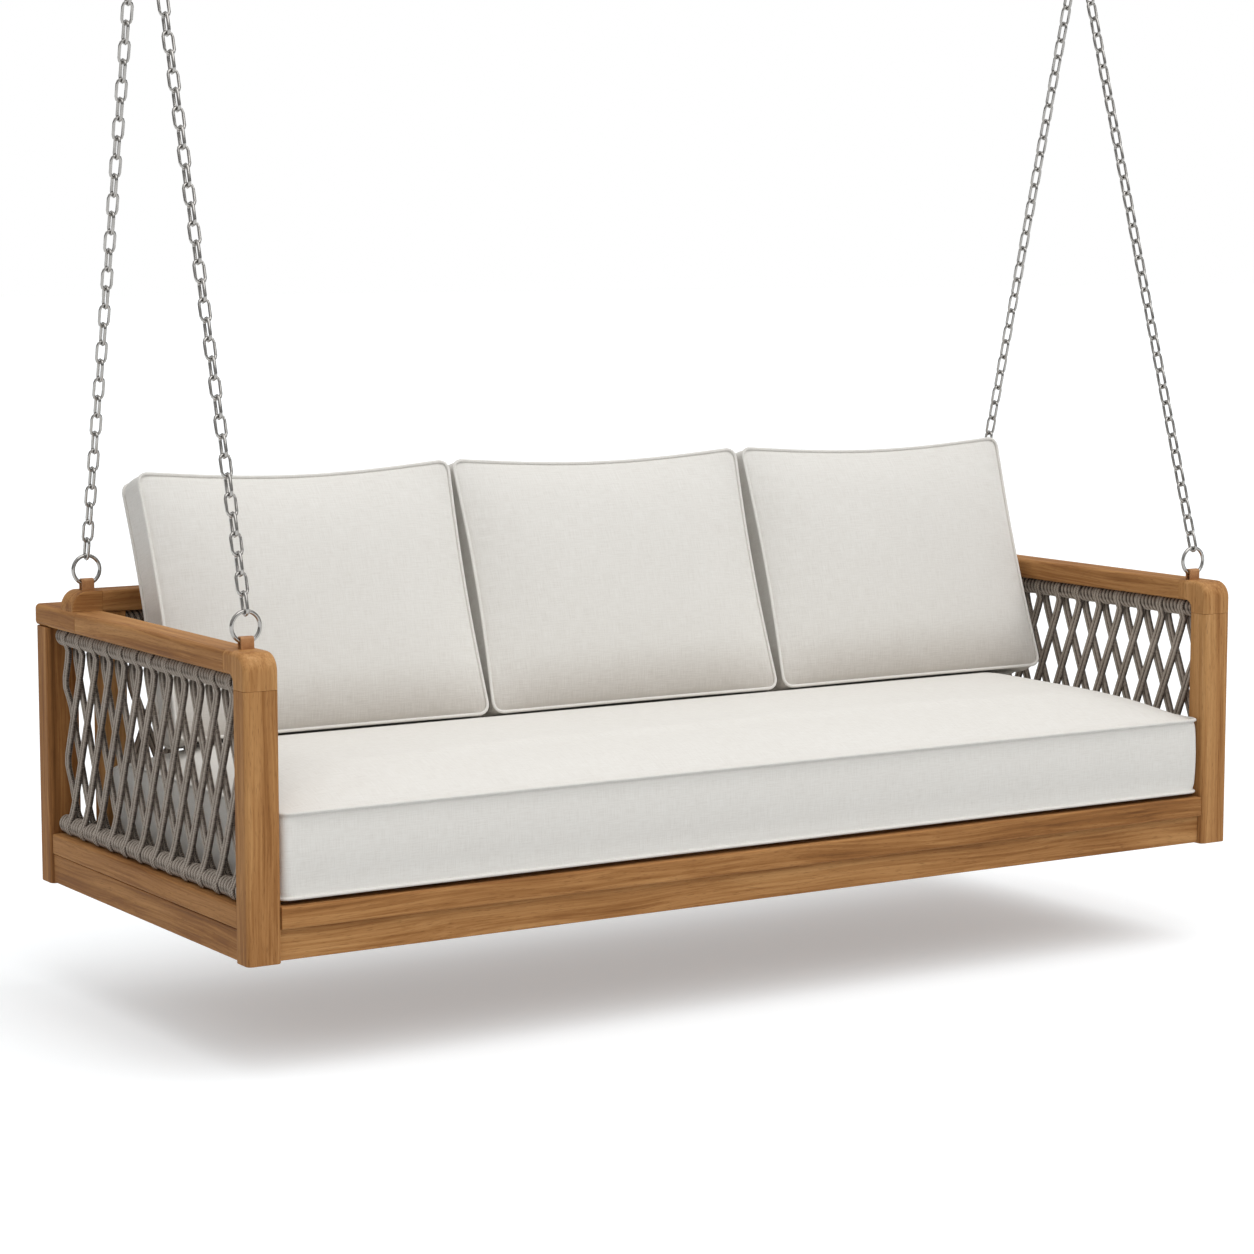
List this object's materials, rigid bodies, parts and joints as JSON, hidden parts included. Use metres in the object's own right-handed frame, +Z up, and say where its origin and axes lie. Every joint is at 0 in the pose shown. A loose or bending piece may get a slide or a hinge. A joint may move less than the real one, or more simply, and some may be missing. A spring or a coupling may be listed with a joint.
{
  "type": "porch swing",
  "caption": "Hanging timber porch swing with cord-laced arms and back, a box seat cushion, loose back cushions, and chains that rise from rings at each corner to ceiling hangers.",
  "frame": {"origin": "on the ceiling plane that the ceiling plates are screwed to, midway between the two plates and above their bolts", "axes": "+X along the seat, to the right of a person who faces the swing; +Y to the back of the seat; +Z up"},
  "size_m": [2.043, 0.83, 1.7843],
  "materials": {
    "teak": "oiled honey-brown hardwood, satin",
    "cord": "taupe-grey braided outdoor cord, matte",
    "linen": "warm off-white woven cover with piped seams, matte",
    "leather": "tan strap, lightly worn",
    "steel": "zinc-plated steel, bright satin"
  },
  "bodies": {
    "ceiling_fittings": {"left_ceiling_plate": "steel", "left_pivot_bolt": "steel", "right_ceiling_plate": "steel", "right_pivot_bolt": "steel"},
    "hanging_seat": {"left_front_post": "teak", "left_back_post": "teak", "left_arm_elbow": "teak", "left_arm_rail": "teak", "left_back_corner": "teak", "right_front_post": "teak", "right_back_post": "teak", "right_arm_elbow": "teak", "right_arm_rail": "teak", "right_back_corner": "teak", "front_rail": "teak", "front_apron": "teak", "back_seat_rail": "teak", "back_apron": "teak", "back_top_rail": "teak", "left_side_rail": "teak", "left_side_apron": "teak", "left_back_stile": "teak", "right_side_rail": "teak", "right_side_apron": "teak", "right_back_stile": "teak", "left_seat_bearer": "teak", "middle_seat_bearer": "teak", "right_seat_bearer": "teak", "seat_slat_1": "teak", "seat_slat_2": "teak", "seat_slat_3": "teak", "seat_slat_4": "teak", "seat_slat_5": "teak", "left_upper_rod": "steel", "left_lower_rod": "steel", "left_arm_lacing": "cord", "right_upper_rod": "steel", "right_lower_rod": "steel", "right_arm_lacing": "cord", "back_upper_rod": "steel", "back_lower_rod": "steel", "back_lacing": "cord", "seat_cushion": "linen", "back_cushion_1": "linen", "back_cushion_2": "linen", "back_cushion_3": "linen", "left_front_loop": "leather", "left_front_ring": "steel", "left_front_chain": "steel", "left_back_loop": "leather", "left_back_ring": "steel", "left_back_chain": "steel", "right_front_loop": "leather", "right_front_ring": "steel", "right_front_chain": "steel", "right_back_loop": "leather", "right_back_ring": "steel", "right_back_chain": "steel", "left_hanger": "steel", "right_hanger": "steel"}
  },
  "joints": [
    {"name": "swing", "type": "hinge", "parent": "ceiling_fittings", "child": "hanging_seat", "pos_m": [0, 0, -0.042], "axis": [1, 0, 0], "range_deg": [-25, 25]}
  ]
}
